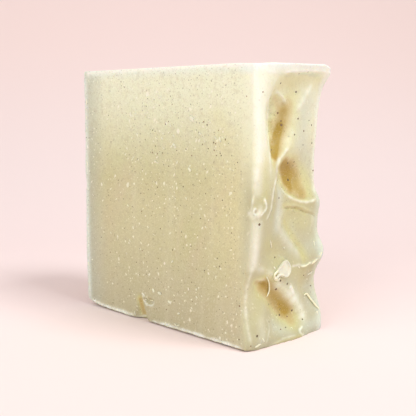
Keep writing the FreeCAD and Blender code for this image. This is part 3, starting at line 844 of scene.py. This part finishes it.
    for scale, share, radius in ((620, 0.66, 0.20), (1000, 0.62, 0.23), (1500, 0.72, 0.25)):
        distance, (pick, size, _) = finish.grains(scale, curled)
        edge = radius * (0.35 + 0.65 * size)
        layer = step(distance, edge, edge * 0.5) * (pick > share)
        specks = layer if specks is None else specks.highest(layer)
    cover(specks * (0.68 - 0.54 * folds), look.speck)

    return finish.close(
        look.roughness + 0.12 * mottle - 0.10 * golden_shade,
        grit * 0.35 + mottle * 0.5 + flecks * 0.5 - specks * 0.3, 0.40, 0.12,
        IOR=1.45, Subsurface_Weight=look.clearness, Subsurface_Radius=(1.0, 0.72, 0.38),
        Subsurface_Scale=2.4 * MM, Specular_IOR_Level=0.42)


def shaving_finish(look, name, colour):
    """Thin shavings and crumbs of the same soap, nearly white because light fills them."""
    finish = Finish(name, shade(colour))
    cloud = finish.noise(420, 3.0)
    finish.cover(finish.step(cloud, 0.36, 0.62), colour, 0.88)
    return finish.close(
        look.roughness + 0.1 * cloud, finish.noise(1500, 2.0), 0.3, 0.1,
        IOR=1.45, Subsurface_Weight=look.clearness, Subsurface_Radius=(1.0, 0.8, 0.5),
        Subsurface_Scale=0.8 * MM)


def speck_finish(look):
    """Dry bits of herb and bark: dark, with a browner edge here and there."""
    finish = Finish("dark_speck", shade(look.speck))
    fine = finish.noise(3000, 2.0)
    finish.cover(finish.step(finish.noise(260, 2.0), 0.50, 0.62), look.bark)
    finish.cover(finish.step(fine, 0.45, 0.70) * 0.5, look.tan, 0.6)
    return finish.close(0.6 + 0.2 * fine, fine, 0.4, 0.05)


def colour_property(name, description, default):
    return FloatVectorProperty(name=name, description=description, default=default,
                               subtype="COLOR", min=0.0, max=1.0)


def strength_property(name, description, default, most=1.0, subtype="FACTOR"):
    return FloatProperty(name=name, description=description, default=default, min=0.0, max=most,
                         subtype=subtype)


class BarShape(bpy.types.PropertyGroup):
    """Sizes of the carved bar."""

    detail: FloatProperty(
        name="Carving detail", description="Size of the finest mark that the carving holds",
        default=0.3 * MM, min=0.2 * MM, max=1.0 * MM, subtype="DISTANCE", unit="LENGTH")
    faces: IntProperty(
        name="Triangles", description="Most triangles that the carved bar may have",
        default=190000, min=20000, max=199000)
    strength: strength_property("Relief", "Strength of the crests and creases", 1.0, 1.5)


class SoapLook(bpy.types.PropertyGroup):
    """Colours and sheen of the soap."""

    cream: colour_property("Cream", "Main colour of the cut face", (0.625, 0.60, 0.355))
    straw: colour_property("Straw", "Yellower drifts", (0.58, 0.57, 0.295))
    rose: colour_property("Rose", "Pinkish drifts", (0.63, 0.545, 0.36))
    butter: colour_property("Butter", "Brighter soap towards the folds", (0.79, 0.745, 0.43))
    tan: colour_property("Tan", "Lower part of the bar and dim folds", (0.50, 0.46, 0.305))
    milk: colour_property("Milk", "Paler upper part", (0.93, 0.985, 0.77))
    low_fold_shade: colour_property("Wax", "Lower folds", (0.49, 0.475, 0.28))
    dusk_shade: colour_property("Dusk", "Cut face towards its far edge", (0.46, 0.495, 0.405))
    ash: colour_property("Ash", "Greyish places", (0.63, 0.67, 0.54))
    khaki_shade: colour_property("Khaki", "Faintest hollows", (0.70, 0.68, 0.23))
    honey_shade: colour_property("Honey", "Shallow hollows", (0.68, 0.54, 0.21))
    amber_shade: colour_property("Amber", "Deepest hollows", (0.44, 0.292, 0.03))
    rim: colour_property("Rim", "Thin edges of the cuts", (0.78, 0.91, 0.855))
    top_glow: colour_property("Frost", "Folds along the top", (0.86, 1.0, 0.97))
    white: colour_property("White", "Crests and burrs", (0.94, 0.98, 0.86))
    curl: colour_property("Shaving", "Broad shaving", (0.80, 0.80, 0.64))
    crumb: colour_property("Crumb", "Thin curls and crumbs", (0.96, 0.96, 0.70))
    grain: colour_property("Grain", "Fine grain", (0.46, 0.41, 0.25))
    fleck: colour_property("Fleck", "Light flecks", (0.99, 0.99, 0.84))
    speck: colour_property("Speck", "Dark specks", (0.15, 0.115, 0.06))
    bark: colour_property("Bark", "Reddish specks", (0.24, 0.13, 0.06))
    roughness: strength_property("Roughness", "Roughness of the waxy surface", 0.42)
    clearness: strength_property("Clearness", "How much light goes into the soap", 0.30)


class StageLook(bpy.types.PropertyGroup):
    """Floor, wall, lamps and camera."""

    floor: colour_property("Floor", "Colour of the floor", (0.93, 0.812, 0.80))
    near: colour_property("Near floor", "Floor in front of the bar", (0.93, 0.765, 0.745))
    wall: colour_property("Wall", "Colour of the wall behind", (0.955, 0.785, 0.75))
    sky: colour_property("Sky", "Light from all round", (1.0, 0.99, 0.98))
    fill: strength_property("Fill", "Strength of the light from all round", 0.59, 5.0, "NONE")
    key: strength_property("Key", "Power of the lamp on the right, in watts", 0.58, 100.0, "NONE")
    front: strength_property("Front", "Power of the lamp by the camera, in watts", 1.12, 100.0,
                             "NONE")


class SOAP_OT_carve_bar(bpy.types.Operator):
    """Carves the folds, crests, dents and edges into a copy of the plain bar"""

    bl_idname = "soap.carve_bar"
    bl_label = "Carve the bar"

    def execute(self, context):
        shape = context.scene.soap_shape
        bar = link_new("carved_bar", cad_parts[NODE].data.copy())
        bar.matrix_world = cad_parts[NODE].matrix_world
        make_active(bar)
        with editing():
            bpy.ops.mesh.remove_doubles(threshold=WELD)
        apply_modifier(bar, "REMESH", mode="VOXEL", voxel_size=shape.detail)
        tree = tree_of(bar)
        seats = {name: seat(tree, line[3], *CREST_FADE) for name, line in CRESTS.items()}
        carve(bar, seats, shape.strength)
        count = sum(len(p.vertices) - 2 for p in bar.data.polygons)
        if count > shape.faces:
            apply_modifier(bar, "DECIMATE", ratio=shape.faces / count)
        if not bar.data.polygons:
            raise RuntimeError("the carved bar came out empty")
        paint(bar, "golden_shade", GOLDEN_SHADE.values())
        lines = [(tone, width * 1.1, marks) for _, width, tone, marks in CRESTS.values() if tone]
        paint(bar, "highlight_and_burrs", PALE_HIGHLIGHT.values(), lines)
        paint(bar, "ash", ASH.values())
        paint(bar, "dim_shade", DIM_SHADE.values())
        store(bar, "upward", vertex_values(bar.data, "normal")[:, 2])
        bar.data.materials.clear()
        bar.data.materials.append(soap_finish(context.scene.soap_look))
        make_active(bar)
        bpy.ops.object.shade_smooth()
        settle(bar, NODE)
        return {"FINISHED"}


class SOAP_OT_stand_shaving(bpy.types.Operator):
    """Stands the broad shaving on the shelf of the folded side"""

    bl_idname = "soap.stand_shaving"
    bl_label = "Stand the shaving"

    def execute(self, context):
        tree = tree_of(bpy.data.objects["carved_bar"])
        facing = Vector((0.90, -0.36, 0.22)).normalized()
        heart = sit(tree, (283, 270))[0] + facing * 0.25 * MM
        outline = pairs(SHAVING)
        deselect_all()
        bpy.ops.mesh.primitive_circle_add(vertices=len(outline), radius=2 * MM, fill_type="NGON")
        shaving = context.object
        for vertex, mark in zip(shaving.data.vertices, reversed(outline)):
            sight = sight_line(mark)
            vertex.co = EYE + sight * ((heart - EYE).dot(facing) / sight.dot(facing))
        with editing():
            bpy.ops.mesh.select_mode(type="FACE")
            bpy.ops.mesh.select_all(action="SELECT")
            for inset, sink in ((0.22, 0.10), (0.30, 0.14)):
                bpy.ops.mesh.inset(thickness=inset * MM)
                bpy.ops.transform.translate(value=facing * -sink * MM)
        top = max(v.co.z for v in shaving.data.vertices)
        for vertex in shaving.data.vertices:
            lean = smooth(top - 5 * MM, top, vertex.co.z)
            vertex.co += facing * (0.35 * lean + 0.35 * noise.noise(vertex.co * 420)) * MM
        apply_modifier(shaving, "SOLIDIFY", thickness=0.75 * MM, offset=-1.0)
        apply_modifier(shaving, "REMESH", mode="VOXEL", voxel_size=0.11 * MM)
        with editing():
            bpy.ops.mesh.vertices_smooth(factor=0.5, repeat=2)
        look = context.scene.soap_look
        gather("shaving", [shaving], shaving_finish(look, "soap_shaving", look.curl))
        return {"FINISHED"}


class SOAP_OT_lay_curls(bpy.types.Operator):
    """Lays the thin curls of soap along the crests and over the trough"""

    bl_idname = "soap.lay_curls"
    bl_label = "Lay the curls"

    def execute(self, context):
        tree = tree_of(bpy.data.objects["carved_bar"])
        curls = [lay_curl(name, tree, *values) for name, values in CURLS.items()]
        look = context.scene.soap_look
        gather("soap_curls", curls, shaving_finish(look, "soap_crumb", look.crumb))
        return {"FINISHED"}


class SOAP_OT_scatter_bits(bpy.types.Operator):
    """Presses the light bits and the dark specks into the soap"""

    bl_idname = "soap.scatter_bits"
    bl_label = "Scatter bits and specks"

    def execute(self, context):
        tree = tree_of(bpy.data.objects["carved_bar"])
        lumps = [new_lump("lump", seed) for seed in LUMP_SEEDS]
        bits = [
            lay_lump(lumps[k % len(lumps)], sit(tree, ends[:2]), sit(tree, ends[2:]), width * MM,
                     min(BIT_RISE[1], BIT_RISE[0] * width) * MM)
            for k, (width, *ends) in enumerate(LIGHT_BITS)]
        gather("light_bits", bits, bpy.data.materials["soap_crumb"])
        specks = [
            lay_lump(lumps[k % len(lumps)], sit(tree, mark), sit(tree, mark), width * MM,
                     SPECK_RISE)
            for k, (width, *mark) in enumerate(SPECKS)]
        gather("dark_specks", specks, speck_finish(context.scene.soap_look))
        for lump in lumps:
            bpy.data.objects.remove(lump, do_unlink=True)
        return {"FINISHED"}


class SOAP_OT_set_stage(bpy.types.Operator):
    """Sets the floor with its curved wall, the lamps and the camera"""

    bl_idname = "soap.set_stage"
    bl_label = "Set the stage"

    def execute(self, context):
        look = context.scene.soap_stage
        turn = math.radians(EYE_TURN)
        away = Vector((-math.sin(turn), math.cos(turn), 0))
        deselect_all()
        bpy.ops.mesh.primitive_plane_add(size=FLOOR_SIZE)
        floor = context.object
        floor.name = "stage_floor"
        floor.rotation_euler = (0, 0, turn)
        floor.location = away * (BEND_START - FLOOR_SIZE / 2)
        bpy.ops.object.transform_apply(location=True, rotation=True, scale=True)
        bpy.ops.object.mode_set(mode="EDIT")
        bpy.ops.mesh.select_mode(type="EDGE")
        bpy.ops.mesh.select_all(action="DESELECT")
        bpy.ops.object.mode_set(mode="OBJECT")
        # The far edge alone is selected, and drawn up into the wall
        mesh = floor.data
        for edge in mesh.edges:
            edge.select = all(mesh.vertices[k].co.dot(away) > BEND_START / 2 for k in edge.vertices)
        bpy.ops.object.mode_set(mode="EDIT")
        bpy.ops.mesh.spin(
            steps=24, angle=math.radians(-90), axis=away.cross(Vector((0, 0, 1))),
            center=away * BEND_START + Vector((0, 0, BEND_RADIUS)))
        bpy.ops.mesh.extrude_region_move(TRANSFORM_OT_translate={"value": (0, 0, WALL_HEIGHT)})
        bpy.ops.object.mode_set(mode="OBJECT")
        bpy.ops.object.shade_smooth()
        finish = Finish("studio_paper", shade(look.near))
        x, y, z = finish.axes()
        finish.cover(finish.step(away.x * x + away.y * y, -0.09, 0.02), look.floor)
        finish.cover(finish.step(z, 0.0, 0.12), look.wall)
        mesh.materials.append(finish.close(
            0.9, finish.noise(900, 2.0), 0.02, 0.1, Specular_IOR_Level=0.1))

        world = bpy.data.worlds.new("soft_room")
        world.use_nodes = True
        sky = world.node_tree.nodes["Background"]
        sky.inputs[0].default_value = shade(look.sky)
        sky.inputs[1].default_value = look.fill
        context.scene.world = world

        aim = Vector((0, 0, 0.035))
        lamps = (
            ("key_lamp", look.key, 0.20, 110, aim + Vector((0.30, 0.05, 0.45))),
            ("front_lamp", look.front, 0.40, 180, aim + Vector((0.06, -0.49, 0.30))),
        )
        for name, power, size, spread, place in lamps:
            lamp = bpy.data.lights.new(name, "AREA")
            lamp.energy = power
            lamp.size = size
            lamp.spread = math.radians(spread)
            holder = link_new(name, lamp)
            holder.location = place
            holder.rotation_euler = (aim - place).to_track_quat("-Z", "Y").to_euler()

        camera = bpy.data.cameras.new("photo_camera")
        camera.lens = LENS
        camera.sensor_width = SENSOR
        camera.clip_start = 0.005
        holder = link_new("photo_camera", camera)
        holder.location = EYE
        holder.rotation_euler = EYE_ROTATION
        context.scene.camera = holder
        context.scene.view_settings.view_transform = "Standard"
        return {"FINISHED"}


class SOAP_PT_bar(bpy.types.Panel):
    """Lists the steps of the bar and their settings"""

    bl_idname = "SOAP_PT_bar"
    bl_label = "Soap bar"
    bl_space_type = "VIEW_3D"
    bl_region_type = "UI"
    bl_category = "Soap"

    def draw(self, context):
        for group in (context.scene.soap_shape, context.scene.soap_look, context.scene.soap_stage):
            box = self.layout.box()
            for name in group.__annotations__:
                box.prop(group, name)
        for operator in STEPS:
            self.layout.operator(operator.bl_idname)


GROUPS = {"soap_shape": BarShape, "soap_look": SoapLook, "soap_stage": StageLook}
STEPS = (
    SOAP_OT_set_stage, SOAP_OT_carve_bar, SOAP_OT_stand_shaving, SOAP_OT_lay_curls,
    SOAP_OT_scatter_bits)
CLASSES = (*GROUPS.values(), *STEPS, SOAP_PT_bar)


def register():
    for kind in CLASSES:
        bpy.utils.register_class(kind)
    for name, kind in GROUPS.items():
        setattr(bpy.types.Scene, name, PointerProperty(type=kind))


def unregister():
    for name in GROUPS:
        delattr(bpy.types.Scene, name)
    for kind in reversed(CLASSES):
        bpy.utils.unregister_class(kind)


def main():
    register()
    bpy.ops.soap.set_stage()
    bpy.ops.soap.carve_bar()
    bpy.ops.soap.stand_shaving()
    bpy.ops.soap.lay_curls()
    bpy.ops.soap.scatter_bits()


if __name__ == "__main__":
    main()
